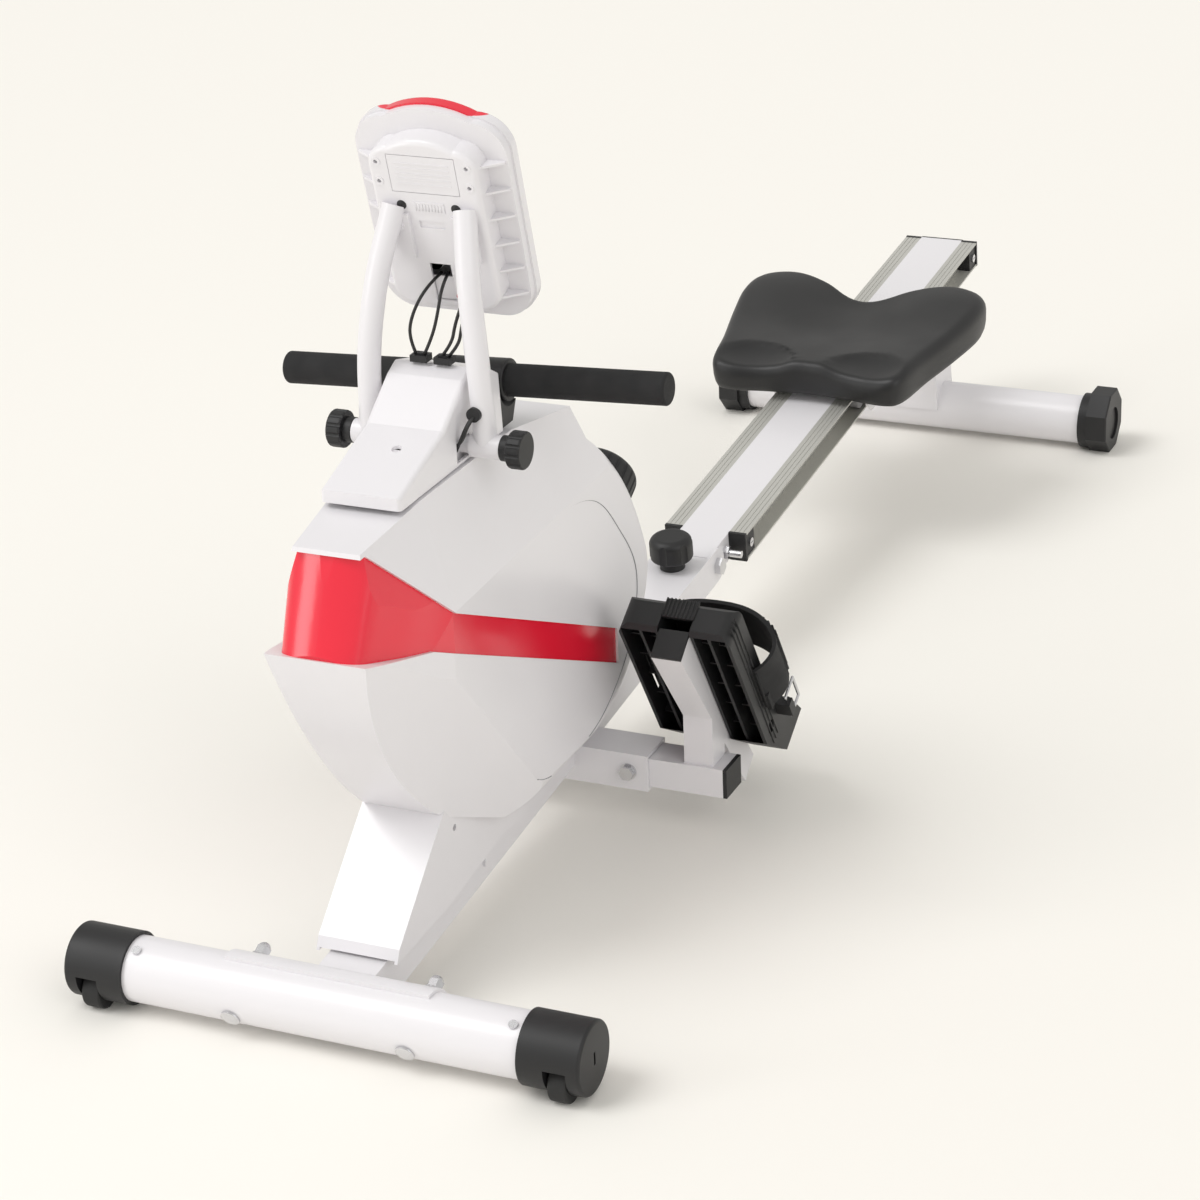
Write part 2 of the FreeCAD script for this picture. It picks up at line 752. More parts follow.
def is_rear_rim(edge):
    """The long curved edges where the sides meet the rear of the housing."""
    box_ = edge.BoundBox
    flat = box_.XLength < 0.01 and abs(abs(box_.XMin) - side_x) < 0.01
    return flat and box_.YMax > 560 and box_.ZLength > 200


def housing_half(sign):
    shell = housing_whole()
    half = box(0, 200, -100, 800, -50, 700)
    piece = sided(shell, sign).common(half) if sign < 0 else shell.common(half)
    piece = piece.cut(panel_pocket(1))
    piece = piece.cut(rod_x(3.2, 30, 60, 176, 132))
    return sided(piece, sign)


def nose_section(z, inset):
    """Level outline of the red insert: a round nose that flows into the flat sides."""
    rise = z - nose_low_z
    half = side_x - inset
    front = nose_front + nose_slope * rise + inset
    flank = nose_flank + flank_slope * rise - front
    right = [V(half * across, front + flank * back, z) for across, back in nose_shape]
    left = [V(-spot.x, spot.y, z) for spot in reversed(right[1:])]
    curve = Part.BSplineCurve()
    curve.interpolate(left + right)
    rear = 640
    corners = [right[-1], V(half, rear, z), V(-half, rear, z), left[0]]
    runs = [Part.LineSegment(corners[k], corners[k + 1]).toShape() for k in range(3)]
    return Part.Wire([curve.toShape()] + runs)


def band_body(inset):
    """Solid behind the red insert: it leans back like the cover's front, and has no facets."""
    nose = Part.makeLoft([nose_section(z, inset) for z in (60, 500)], True, True)
    return nose.common(housing_body(inset))


def band_ledges():
    """White flanges that close the covers' edges above and below the red insert."""
    line = band_outline(0)
    upper = [line[0], line[1], line[2]]
    lower = [line[5], line[6]]
    upper_strip = [(y, z) for y, z in upper] + [(y + 1.5, z + ledge_thick) for y, z in reversed(upper)]
    lower_strip = [(y, z) for y, z in lower] + [(y - 1.0, z - ledge_thick) for y, z in reversed(lower)]
    strips = side_solid(upper_strip, -100, 100).fuse(side_solid(lower_strip, -100, 100))
    return strips.common(housing_body(0.5)).cut(band_body(band_inset))


def band_half(sign):
    plate = band_body(band_inset).cut(band_body(band_inset + band_thick))
    plate = plate.common(side_solid(band_outline(4.0), -100, 100))
    plate = plate.common(box(0, 200, -100, 800, -50, 700))
    return sided(plate, sign)


# ---------------------------------------------------------------- head
def head_outline(inset):
    i = inset
    return [(118 + i, 458.5), (118 + i, 470 - i), (206, 499 - i), (250, 530 - i), (266, 537 - i),
            (292, 530 - i), (320 - i, 514), (324 - i, 458.5)]


def head_cover():
    """Narrow white cover over the mast's top, with two sunk screw seats."""
    outer = side_solid(head_outline(0), -38, 38)
    outer = round_edges(outer, 4.0, is_head_edge)
    inner = side_solid(head_outline(plastic_wall), -35, 35)
    inner = inner.fuse(side_solid([(118 + 3, 440), (324 - 3, 440), (324 - 3, 460), (121, 460)], -35, 35))
    cover = outer.cut(inner)
    cover = cover.cut(rod_x(pivot_r + loose_gap, -60, 60, pivot_y, pivot_z))
    cover = cover.cut(box(30, 40, pivot_y - 22, pivot_y + 4, pivot_z - 11, pivot_z + 9))
    slot_low = guide_z + guide_r - 3
    cover = cover.cut(box(-24, 24, 310, 340, slot_low, slot_low + 12))
    return cut(cover, [rod(4.5, V(6, 178, 487.5), Z_AXIS, 20), rod(4.5, V(0, 266, 535.5), Z_AXIS, 20)])


def is_head_edge(edge):
    box_ = edge.BoundBox
    on_side = abs(abs(box_.XMin) - 38) < 0.1 and box_.XLength < 0.1
    return on_side and box_.ZMax > 460


def handle_cradle():
    """Black rest behind the head cover, hollowed for the handle's middle."""
    front = 324.3
    block = side_solid([(front, 458.5), (front, handle_z), (handle_y + 12, handle_z), (handle_y + 14, 484),
                        (handle_y + 2, 458.5)], -35, 35)
    block = block.cut(box(-20, 20, front - 1, front + 8, guide_z + guide_r - 3, guide_z + guide_r + 9))
    return block.cut(rod_x(hub_r + 2.5, -60, 60, handle_y, handle_z))


def tilted_handle(shape):
    shape = shape.copy()
    shape.rotate(V(0, handle_y, handle_z), Y_AXIS, -handle_lean)
    return shape


def handle_bar():
    tube = rod_x(handle_tube_r, -handle_half + 4, handle_half - 4, handle_y, handle_z)
    tube = tube.cut(rod_x(handle_tube_r - 1.5, -handle_half, handle_half, handle_y, handle_z))
    return tilted_handle(tube)


def handle_grips():
    """Foam sleeves with closed ends."""
    grips = []
    for name, sign in SIDES:
        grip = rod_x(grip_r, clamp_half, handle_half, handle_y, handle_z)
        grip = round_edges(grip, 2.5, lambda e: e.BoundBox.XMin > handle_half - 0.1)
        grip = grip.cut(rod_x(handle_tube_r, clamp_half - 1, handle_half - 4, handle_y, handle_z))
        grips.append(sided(grip, sign))
    return tilted_handle(group(grips))


def handle_centre():
    """Thicker middle sleeve with an eye at the front that the strap is stitched to."""
    sleeve = rod_x(hub_r, -clamp_half, clamp_half, handle_y, handle_z)
    sleeve = round_edges(sleeve, 2.0, lambda e: True)
    sleeve = sleeve.cut(rod_x(handle_tube_r, -60, 60, handle_y, handle_z))
    return tilted_handle(sleeve)


# ---------------------------------------------------------------- console
def place_console(shape):
    """Set a console piece, drawn upright about the origin, on its tilted plane."""
    placed = shape.copy()
    placed.rotate(V(0, 0, 0), X_AXIS, console_tilt)
    placed.translate(V(0, console_y, console_z))
    return placed


def rounded_plate(wide, high, corner, y0, y1, top_bow):
    """Plate with round corners and a bowed top, drawn in the X-Z plane."""
    hw = wide / 2
    hh = high / 2
    c = corner
    k = c * (1 - math.sqrt(0.5))
    spots = [V(-hw + c, y0, -hh), V(hw - c, y0, -hh)]
    edges = [Part.LineSegment(spots[0], spots[1]).toShape()]
    edges.append(Part.Arc(V(hw - c, y0, -hh), V(hw - k, y0, -hh + k), V(hw, y0, -hh + c)).toShape())
    edges.append(Part.LineSegment(V(hw, y0, -hh + c), V(hw, y0, hh - c)).toShape())
    edges.append(Part.Arc(V(hw, y0, hh - c), V(hw - k, y0, hh - k), V(hw - c, y0, hh)).toShape())
    edges.append(Part.Arc(V(hw - c, y0, hh), V(0, y0, hh + top_bow), V(-hw + c, y0, hh)).toShape())
    edges.append(Part.Arc(V(-hw + c, y0, hh), V(-hw + k, y0, hh - k), V(-hw, y0, hh - c)).toShape())
    edges.append(Part.LineSegment(V(-hw, y0, hh - c), V(-hw, y0, -hh + c)).toShape())
    edges.append(Part.Arc(V(-hw, y0, -hh + c), V(-hw + k, y0, -hh + k), V(-hw + c, y0, -hh)).toShape())
    return Part.Face(Part.Wire(edges)).extrude(V(0, y1 - y0, 0))


console_corner = 30.0
console_bow = 10.0
back_depth = 30.0
rim_depth = 8.0
core_wide = 104.0
core_high = 160.0
door_wide = 64.0
door_high = 36.0
door_z = 55.0
door_thick = 2.0


def console_rib(x_in, x_out, z, sign):
    """Thin gusset between the raised middle and the rim."""
    outline = [(x_in - 2, -back_depth + 8), (x_out, -rim_depth - 2), (x_out, -rim_depth + 1),
               (x_in - 2, -rim_depth + 1)]
    corners = [V(sign * x, y, z) for x, y in outline]
    face = Part.Face(Part.makePolygon(corners + corners[:1]))
    return face.extrude(V(0, 0, 2.2))


def console_back():
    rim = rounded_plate(console_wide, console_high, console_corner, -rim_depth, 0, console_bow)
    core = rounded_plate(core_wide, core_high, 20, -back_depth, -rim_depth + 1, 8)
    core = round_edges(core, 5, lambda e: e.BoundBox.YMax < -back_depth + 0.1)
    ribs = []
    for name, sign in SIDES:
        for k in range(6):
            ribs.append(console_rib(core_wide / 2, console_wide / 2 - 2, -70 + k * 26, sign))
    shell = join([rim, core] + ribs)
    hollow = rounded_plate(core_wide - 5, core_high - 5, 18, -back_depth + 2.5, 1, 8)
    shell = shell.cut(hollow)
    shell = shell.cut(battery_recess())
    shell = shell.cut(box(-10, 10, -back_depth - 1, -back_depth + 4, -72, -34))
    spots = [V(x, -back_depth, z) for x in (-43, 43) for z in (46, 65)]
    seats = [rod(4.2, spot - Y_AXIS * 0.6, Y_AXIS, 3) for spot in spots]
    shell = cut(join([shell] + seats), [rod(2.0, spot - Y_AXIS * 1, Y_AXIS, 3) for spot in spots])
    latch = box(-15, 15, -back_depth - 0.8, -back_depth + 1, 18, 28)
    slot = box(-12, 12, -back_depth - 1, -back_depth + 1.5, 2, 9)
    shell = shell.fuse(latch).cut(slot)
    return place_console(shell.removeSplitter())


def battery_recess():
    half = door_wide / 2 + 0.5
    low = door_z - door_high / 2 - 0.5
    high = door_z + door_high / 2 + 0.5
    recess = box(-half, half, -back_depth - 2, -back_depth + door_thick + 0.3, low, high)
    return recess.cut(box(-200, 200, -back_depth + door_thick + 0.2, 10, -200, 200))


def battery_door():
    """Lid with a tapered lower edge, so that it can tip outwards about it."""
    half = door_wide / 2
    low = door_z - door_high / 2
    high = door_z + door_high / 2
    y0 = -back_depth
    y1 = -back_depth + door_thick
    outline = [(y0, low), (y1, low + 2.2), (y1, high - 0.4), (y0, high)]
    lid = side_solid(outline, -half, half)
    ribs = [box(-half + 6, half - 6, y0 - 0.5, y0 + 0.1, low + 8 + 5 * k, low + 9 + 5 * k) for k in range(5)]
    return place_console(join([lid] + ribs))


def console_front():
    """Front bezel with the display window and the button holes."""
    plate = rounded_plate(console_wide + 4, console_high + 4, console_corner + 2, 0.0, 12, console_bow)
    plate = round_edges(plate, 4, lambda e: e.BoundBox.YMin > 11.9)
    plate = plate.cut(rounded_plate(console_wide - 6, console_high - 6, console_corner - 3, -1, 8,
                                    console_bow))
    plate = plate.cut(box(-52, 52, 5, 20, -6, 66))
    for x in (-26, 26):
        plate = plate.cut(rod(8.4, V(x, 5, -56), Y_AXIS, 20))
    return place_console(plate)


def console_lens():
    lens = box(-52, 52, 8.5, 10.5, -6, 66)
    return place_console(lens)


def console_button(sign):
    button = rod(8.0, V(26 * sign, 5.0, -56), Y_AXIS, 9)
    button = round_edges(button, 1.5, lambda e: e.BoundBox.YMin > 13.9)
    return place_console(button)


def fork_route():
    """Centre line of the right fork tube, from the axle sleeve to the back of the console."""
    return [V(fork_x, pivot_y, pivot_z), V(fork_x - 3, pivot_y - 2, pivot_z + 78),
            V(fork_x - 12, pivot_y + 6, pivot_z + 145), V(34, pivot_y + 28, pivot_z + 202)]


def smooth_tube(points, radius):
    """Round tube along straight runs joined by arcs that touch them."""
    wire, radii, length = smooth_path(points)
    start = points[0]
    heading = (points[1] - points[0]).normalize()
    ring = Part.Wire(Part.makeCircle(radius, start, heading))
    tube = wire.makePipeShell([ring], True, False)
    return tube, radii, length


def smooth_path(points):
    """Path of straight runs and arcs; each arc is as large as its two runs allow."""
    edges = []
    radii = []
    last = points[0]
    for k in range(1, len(points) - 1):
        before = points[k - 1] - points[k]
        after = points[k + 1] - points[k]
        turn = math.pi - before.getAngle(after)
        shorter = min(before.Length, after.Length)
        radius = 0.45 * shorter / math.tan(turn / 2)
        reach = 0.45 * shorter
        start = points[k] + before.normalize() * reach
        end = points[k] + after.normalize() * reach
        middle_way = (before + after).normalize()
        sag = radius / math.cos(turn / 2) - radius
        mid = points[k] + middle_way * sag
        edges.append(Part.LineSegment(last, start).toShape())
        edges.append(Part.Arc(start, mid, end).toShape())
        radii.append(radius)
        last = end
    edges.append(Part.LineSegment(last, points[-1]).toShape())
    wire = Part.Wire(edges)
    return wire, radii, wire.Length


def console_fork():
    """Two bent tubes welded to sleeves on the axle, flattened to tabs behind the console."""
    route = fork_route()
    tube, radii, length = smooth_tube(route, fork_tube_r)
    sleeve = rod_x(sleeve_r, sleeve_in, sleeve_out, pivot_y, pivot_z)
    tab = place_console(box(20, 42, -back_depth - 4.0, -back_depth, -28, 16))
    right = join([tube, sleeve, tab])
    right = right.cut(rod_x(pivot_r + running_gap, 0, 100, pivot_y, pivot_z))
    behind = place_console(box(-200, 200, -back_depth, 200, -300, 300))
    right = right.cut(behind)
    screw = place_console(rod(4.6, V(30, -back_depth - 6.2, 5), Y_AXIS, 2.3))
    right = right.fuse(screw)
    left = mirrored(right)
    return group([right, left])


def pivot_knob(sign):
    """Star knob with a hub, screwed on the axle's end."""
    x0 = sleeve_out + touch_gap
    hub = rod_x(11.5, x0, x0 + 9, pivot_y, pivot_z)
    rim = rod_x(knob_r, x0 + 8, x0 + 8 + knob_thick - 4, pivot_y, pivot_z)
    rim = round_edges(rim, 2, lambda e: True)
    notches = []
    for k in range(12):
        a = math.radians(30 * k)
        y = pivot_y + (knob_r + 0.8) * math.cos(a)
        z = pivot_z + (knob_r + 0.8) * math.sin(a)
        notches.append(rod_x(2.2, x0 + 6, x0 + 40, y, z))
    knob = cut(join([hub, rim]), notches)
    knob = knob.cut(rod_x(pivot_r + running_gap, x0 - 1, sleeve_out + 6.5, pivot_y, pivot_z))
    return sided(knob, sign)


# ---------------------------------------------------------------- leads
lead_r = 1.5


def lead_routes():
    """Hand-chosen routes of the free leads: two from the console's slot to the plugs, two from the
    right fork tube to the plugs, and two short loops from the grommet into the head cover."""
    slot_left = [V(-3, 299.5, 609), V(-6, 275, 604), V(-14, 259, 582), V(-17, 257, 561), V(-14, 265, 542.5)]
    slot_right = [V(4, 299.5, 610), V(9, 275, 606), V(11, 260, 585), V(5, 258, 563), V(-8, 265, 542.5)]
    tube_left = [V(41, 257, 612), V(34, 263, 597), V(26, 262, 576), V(22, 262, 558), V(8, 266, 542.5)]
    tube_right = [V(41, 257, 604), V(36, 263, 590), V(31, 264, 572), V(27, 265, 556), V(14, 267, 542.5)]
    loop_low = [V(50, 240, 504), V(47, 231, 496), V(41, 230, 482), V(34, 235, 470)]
    loop_high = [V(53, 240, 505), V(50, 228, 499), V(45, 226, 483), V(34, 233, 474)]
    return [slot_left, slot_right, tube_left, tube_right, loop_low, loop_high]


def lead_tubes():
    tubes = []
    for points in lead_routes():
        tube, radii, length = smooth_tube(points, lead_r)
        ratio = tube.Volume / (math.pi * lead_r ** 2 * length)
        print("lead radii", [round(r, 1) for r in radii], "length", round(length, 1), "volume ratio", round(ratio, 4))
        tubes.append(tube)
    return tubes


def console_leads(fork, back):
    return group([cut(tube, [fork, back]) for tube in lead_tubes()])


def lead_connectors(leads):
    """Plug housings lying on the head cover, and the grommet in the right fork tube."""
    plugs = []
    for x in (-19, 4):
        body = box(x, x + 16, 260, 272, 538.4, 544.5)
        latch = box(x + 3, x + 13, 263, 269, 544.0, 546.0)
        plugs.append(body.fuse(latch).removeSplitter())
    grommet = rod(6.5, V(fork_x - 4, pivot_y - 15, pivot_z + 33), Y_AXIS, 5)
    tube, radii, length = smooth_tube(fork_route(), fork_tube_r + 0.02)
    plugs.append(grommet.cut(tube))
    return group([cut(plug, leads.Solids) for plug in plugs])


# ---------------------------------------------------------------- foot rests
def on_carrier(shape):
    """Place a piece drawn with its length along +Y on the right-hand carrier's line."""
    placed = shape.copy()
    placed.rotate(V(0, 0, 0), X_AXIS, -carrier_angle)
    placed.translate(V(foot_x, carrier_top_y, carrier_top_z))
    return placed


def on_tray(shape, sign):
    """Place a foot-plate piece: +Y runs down the plate and +Z stands off its sole."""
    placed = shape.copy()
    placed.rotate(V(0, 0, 0), X_AXIS, -tray_angle)
    placed.translate(V(foot_x, tray_y, tray_z))
    return sided(placed, sign)


def foot_bar():
    """Bar across the machine with two posts and two inclined carriers welded to it."""
    half_y = bar_deep / 2
    half_z = bar_high / 2
    half = post_side / 2
    bar = box(-bar_half, bar_half, bar_y - half_y, bar_y + half_y, bar_z - half_z, bar_z + half_z)
    hollow = box(-bar_half - 1, bar_half + 1, bar_y - half_y + 2, bar_y + half_y - 2, bar_z - half_z + 2,
                 bar_z + half_z - 2)
    carrier = on_carrier(box(-half, half, 0, carrier_long, -half, half))
    carrier_hollow = on_carrier(box(-half + 2, half - 2, -5, carrier_long + 5, -half + 2, half - 2))
    reach = (bar_y - carrier_top_y) / math.cos(math.radians(carrier_angle))
    post_top = carrier_top_z - reach * math.sin(math.radians(carrier_angle))
    post = box(foot_x - half, foot_x + half, bar_y - half, bar_y + half, bar_z + half_z - 1, post_top)
    pieces = [bar]
    for name, sign in SIDES:
        pieces.append(sided(post, sign))
        pieces.append(sided(carrier, sign))
    frame = join(pieces)
    frame = cut(frame, [hollow, carrier_hollow, mirrored(carrier_hollow)])
    holes = [rod(4.0, V(sign * bar_bolt_x(), bar_y - 60, bar_z), Y_AXIS, 120) for name, sign in SIDES]
    return cut(frame, holes)


def foot_bar_plugs():
    """Plastic plugs in the open ends of the bar and the carriers' tops."""
    half_y = bar_deep / 2
    half_z = bar_high / 2
    half = post_side / 2
    plug = box(bar_half, bar_half + 4, bar_y - half_y, bar_y + half_y, bar_z - half_z, bar_z + half_z)
    stem = box(bar_half - 12, bar_half + 1, bar_y - half_y + 2, bar_y + half_y - 2, bar_z - half_z + 2,
               bar_z + half_z - 2)
    top = box(-half, half, -3, 0, -half, half).fuse(box(-half + 2, half - 2, -1, 12, -half + 2, half - 2))
    pieces = [plug.fuse(stem).removeSplitter(), on_carrier(top.removeSplitter())]
    return group([sided(piece, sign) for name, sign in SIDES for piece in pieces])


def bar_bolts():
    """Hexagon bolts through the sleeve and the bar, with washers and nuts behind."""
    face = bar_deep / 2 + loose_gap + sleeve_wall
    bolts = []
    for name, sign in SIDES:
        start = V(sign * bar_bolt_x(), bar_y - face, bar_z)
        shank = rod(4.0, start, Y_AXIS, 2 * face + 6)
        washer = rod(8.5, V(start.x, start.y - 1.6, start.z), Y_AXIS, 1.6)
        head = hexagon(13, V(start.x, start.y - 7.2, start.z), Y_AXIS, 5.6)
        back = hexagon(13, V(start.x, bar_y + face, start.z), Y_AXIS, 6)
        bolts.append(join([shank, washer, head, back]))
    return bolts


def tray_side_outline():
    return [(4, 0), (tray_floor, 0), (tray_long, sole_n - 4), (tray_long, heel_n), (tray_long - 8, heel_n),
            (tray_long - 52, sole_n + 26), (tray_long - 84, sole_n), (6, sole_n), (0, sole_n - 6), (0, 6)]


def footplate(sign):
    """Deep ribbed tray with a heel cup; the carrier runs in the channel under its middle."""
    body = side_solid(tray_side_outline(), -tray_half, tray_half)
    body = round_edges(body, 12, is_tray_corner)
    cup = side_solid([(tray_long - 98, sole_n), (tray_long - 5, sole_n), (tray_long - 5, 140), (0, 140),
                      (0, sole_n)], -tray_half + 4, tray_half - 4)
    body = body.cut(cup)
    hollow = side_solid([(tray_wall, -1), (tray_floor - 2, -1), (tray_long - 8, sole_n - 8),
                         (tray_long - 8, sole_n - tray_wall), (tray_wall, sole_n - tray_wall)],
                        -tray_half + tray_wall, tray_half - tray_wall)
    ribs = []
    for x in (-36.0, -channel_half - 3.0, channel_half, 33.0):
        ribs.append(box(x, x + 3.0, 0, tray_long, 3, sole_n))
    for k in range(5):
        across = box(-tray_half, tray_half, 30 + 34 * k, 32.5 + 34 * k, 14, sole_n)
        ribs.append(across)
    pockets = cut(hollow, ribs)
    body = body.cut(pockets)
    carrier_way = box(-channel_half, channel_half, -10, tray_long + 10, -20, sole_n - tray_wall)
    body = body.cut(carrier_way)
    for k in range(5):
        x = -10 + 4.5 * k
        body = body.cut(box(x, x + 2, -1, 1.2, 8, sole_n - 4))
    body = body.cut(rod_x(7, tray_half - 10, tray_half + 5, tray_long - 70, 17))
    slots = [box(-tray_half - 1, -tray_half + 3.9, strap_at - strap_wide / 2 - 1, strap_at + strap_wide / 2 + 1,
                 sole_n - 20, sole_n - 13)]
    body = body.cut(slots[0]).cut(mirrored(slots[0]))
    solids = sorted(body.Solids, key=lambda solid: -solid.Volume)
    return on_tray(solids[0], sign)


def is_tray_corner(edge):
    """The four long corner edges at the plate's top and heel, seen along its sole's normal."""
    box_ = edge.BoundBox
    return box_.XLength < 0.1 and box_.YLength < 0.1 and box_.ZLength > 20


def foot_strap(sign):
    """Moulded strap over the foot, with both ends turned down beside the tray."""
    low = sole_n - 20
    half = tray_half + 0.1
    wide = half + strap_thick
    t = strap_thick
    outer = [V(-wide, 0, low), V(-wide - 8, 0, sole_n + 22), V(-38, 0, strap_top - 6), V(0, 0, strap_top),
             V(38, 0, strap_top - 6), V(wide + 8, 0, sole_n + 22), V(wide, 0, low)]
    inner = [V(half, 0, low), V(half + 8, 0, sole_n + 21), V(36, 0, strap_top - 6 - t), V(0, 0, strap_top - t),
             V(-36, 0, strap_top - 6 - t), V(-half - 8, 0, sole_n + 21), V(-half, 0, low)]
    first = Part.BSplineCurve()
    first.interpolate(outer)
    second = Part.BSplineCurve()
    second.interpolate(inner)
    edges = [first.toShape(), Part.LineSegment(outer[-1], inner[0]).toShape(), second.toShape(),
             Part.LineSegment(inner[-1], outer[0]).toShape()]
    band = Part.Face(Part.Wire(edges)).extrude(V(0, strap_wide, 0))
    band.translate(V(0, strap_at - strap_wide / 2, 0))
    tail_x = wide + 0.6
    tail = box(tail_x, tail_x + 3.4, strap_at + 10, strap_at + 34, low, low + 34)
    band = band.fuse(box(wide - 1.0, tail_x + 1, strap_at + 10, strap_at + 34, low, low + 10))
    band = band.fuse(tail)
    return on_tray(band.removeSplitter(), sign)


def ring_spot():
    """Middle of a strap ring's hinge bar, in the tray's own frame."""
    return V(tray_half + strap_thick + 7.5, strap_at + 60, sole_n + 2)


def strap_ring(sign):
    """Bent wire ring that the strap's tail is pulled through."""
    spot = ring_spot()
    half = 15.0
    reach = 24.0
    r = ring_wire
    bar = rod(r, V(spot.x, spot.y, spot.z) - Y_AXIS * half, Y_AXIS, 2 * half)
    legs = [rod(r, spot + Y_AXIS * (side * half), Z_AXIS, reach) for side in (-1, 1)]
    far = rod(r, spot - Y_AXIS * half + Z_AXIS * reach, Y_AXIS, 2 * half)
    balls = [Part.makeSphere(r, spot + Y_AXIS * (side * half) + Z_AXIS * rise)
             for side in (-1, 1) for rise in (0, reach)]
    return on_tray(join([bar, far] + legs + balls), sign)


def ring_lug(sign):
    """Loop of the foot plate's side that holds the ring's bar."""
    spot = ring_spot()
    lug = box(tray_half - 1, spot.x + 4.5, spot.y - 9, spot.y + 9, spot.z - 5, spot.z + 5)
    lug = lug.cut(rod(ring_wire + running_gap, spot - Y_AXIS * 20, Y_AXIS, 40))
    return on_tray(lug, sign)


# ---------------------------------------------------------------- rail
def rail_beam():
    """Middle tube of the rail, with the narrower tongue that enters the fold bracket."""
    outer = box(-rail_half, rail_half, rail_start, rail_end, -rail_high, -0.6)
    full = box(-rail_half, rail_half, bracket_end + 12, rail_end, -rail_high, 0)
    outer = outer.fuse(full).removeSplitter()
    inner = box(-rail_half + steel_wall, rail_half - steel_wall, rail_start - 1, rail_end + 1,
                -rail_high + steel_wall, -2.6)
    tube = outer.cut(inner)
    tube = tube.cut(rod_x(fold_bolt_r + running_gap, -60, 60, fold_s, fold_t))
    tube = tube.cut(rod(lock_pin_r + 1.6, V(0, lock_s, -6), Z_AXIS, 20))
    tube = tube.cut(rod_x(4.0, -60, 60, stop_bolt_s, fold_t))
    return on_slope(tube)


def rail_channel(sign):
    """Aluminium channel, open outwards, that a pair of rollers runs in."""
    w = channel_wall
    outer = box(rail_half, rail_half + channel_wide, channel_start, rail_end - plug_face, -rail_high, 0)
    inner = box(rail_half + w, rail_half + channel_wide + 1, channel_start - 1, rail_end, -rail_high + w, -w)
    channel = outer.cut(inner)
    for k in range(3):
        x = rail_half + 5 + 5 * k
        channel = channel.cut(box(x, x + 0.8, channel_start - 1, rail_end, -0.5, 1))
    return sided(on_slope(channel), sign)


def rail_end_plugs():
    """Plastic stops in both ends of both channels, and a cap over the rail's far end."""
    w = channel_wall
    x0 = rail_half + w
    x1 = rail_half + channel_wide
    pieces = []
    near = box(rail_half, x1, channel_start - plug_face, channel_start, -rail_high - 1, 0.6)
    near = near.fuse(box(x0, x1 - 1.5, channel_start - 1, channel_start + 24, -rail_high + w, -w))
    near = near.cut(rod_x(2.5, x1 - 10, x1 + 5, channel_start + 12, fold_t))
    end = rail_end - plug_face
    far = box(rail_half, x1, end, rail_end, -rail_high - 1, 0.6)
    far = far.fuse(box(x0, x1 - 1.5, end - 24, end + 1, -rail_high + w, -w))
    far = far.cut(rod_x(2.5, x1 - 10, x1 + 5, end - 12, fold_t))
    for name, sign in SIDES:
        pieces.append(sided(on_slope(near.removeSplitter()), sign))
        pieces.append(sided(on_slope(far.removeSplitter()), sign))
    cap = box(-rail_half, rail_half, rail_end, rail_end + 3, -rail_high, 0)
    cap = cap.fuse(box(-rail_half + steel_wall, rail_half - steel_wall, rail_end - 10, rail_end + 1,
                       -rail_high + steel_wall, -2.6))
    pieces.append(on_slope(cap.removeSplitter()))
    return group(pieces)


def rail_bolts():
    """The seat's front stop bolt across the rail and the screws in the channel stops."""
    reach = rail_half + 20
    stop = rod_x(4.0, -reach, reach, stop_bolt_s, fold_t)
    nuts = [hexagon(13, V(rail_half, stop_bolt_s, fold_t), X_AXIS, 6.5),
            hexagon(13, V(-rail_half - 6.5, stop_bolt_s, fold_t), X_AXIS, 6.5)]
    pieces = [on_slope(join([stop] + nuts))]
    x1 = rail_half + channel_wide - 1.5
    for s in (channel_start + 12, rail_end - plug_face - 12):
        screw = rod_x(2.5, x1 - 8, x1 + 0.2, s, fold_t).fuse(rod_x(5.0, x1, x1 + 2.2, s, fold_t))
        screw = screw.cut(box(x1 + 1.2, x1 + 3, s - 3.5, s + 3.5, fold_t - 0.6, fold_t + 0.6))
        for name, sign in SIDES:
            pieces.append(sided(on_slope(screw.removeSplitter()), sign))
    return group(pieces)


def fold_bolt():
    """Hexagon bolt through both ears and the rail's tongue, with its locking nut."""
    face = beam_half + bracket_plate
    shank = rod_x(fold_bolt_r, -face - 9, face + 1, fold_s, fold_t)
    head = hexagon(17, V(face, fold_s, fold_t), X_AXIS, 6.5)
    nut = hexagon(17, V(-face - 8, fold_s, fold_t), X_AXIS, 8)
    return on_slope(join([shank, head, nut]))


def lock_knob():
    """Lobed pull knob on a pin that passes through the bracket into the rail's tongue."""
    base = bracket_plate + touch_gap
    pin = rod(lock_pin_r, V(0, lock_s, -7.5), Z_AXIS, base + 10)
    collar = Part.makeCone(13.5, 11, 11, V(0, lock_s, base), Z_AXIS)
    head = rod(lock_knob_r, V(0, lock_s, base + 10), Z_AXIS, 27)
    head = round_edges(head, 8.5, lambda e: e.CenterOfMass.z > base + 36)
    head = round_edges(head, 5.0, lambda e: e.CenterOfMass.z < base + 10.5 and e.BoundBox.XLength > 40)
    notches = []
    for k in range(6):
        a = math.radians(60 * k + 30)
        notches.append(rod(7, V((lock_knob_r + 5.2) * math.cos(a), lock_s + (lock_knob_r + 5.2) * math.sin(a),
                                base), Z_AXIS, 60))
    head = cut(head, notches)
    return on_slope(join([pin, collar, head]))


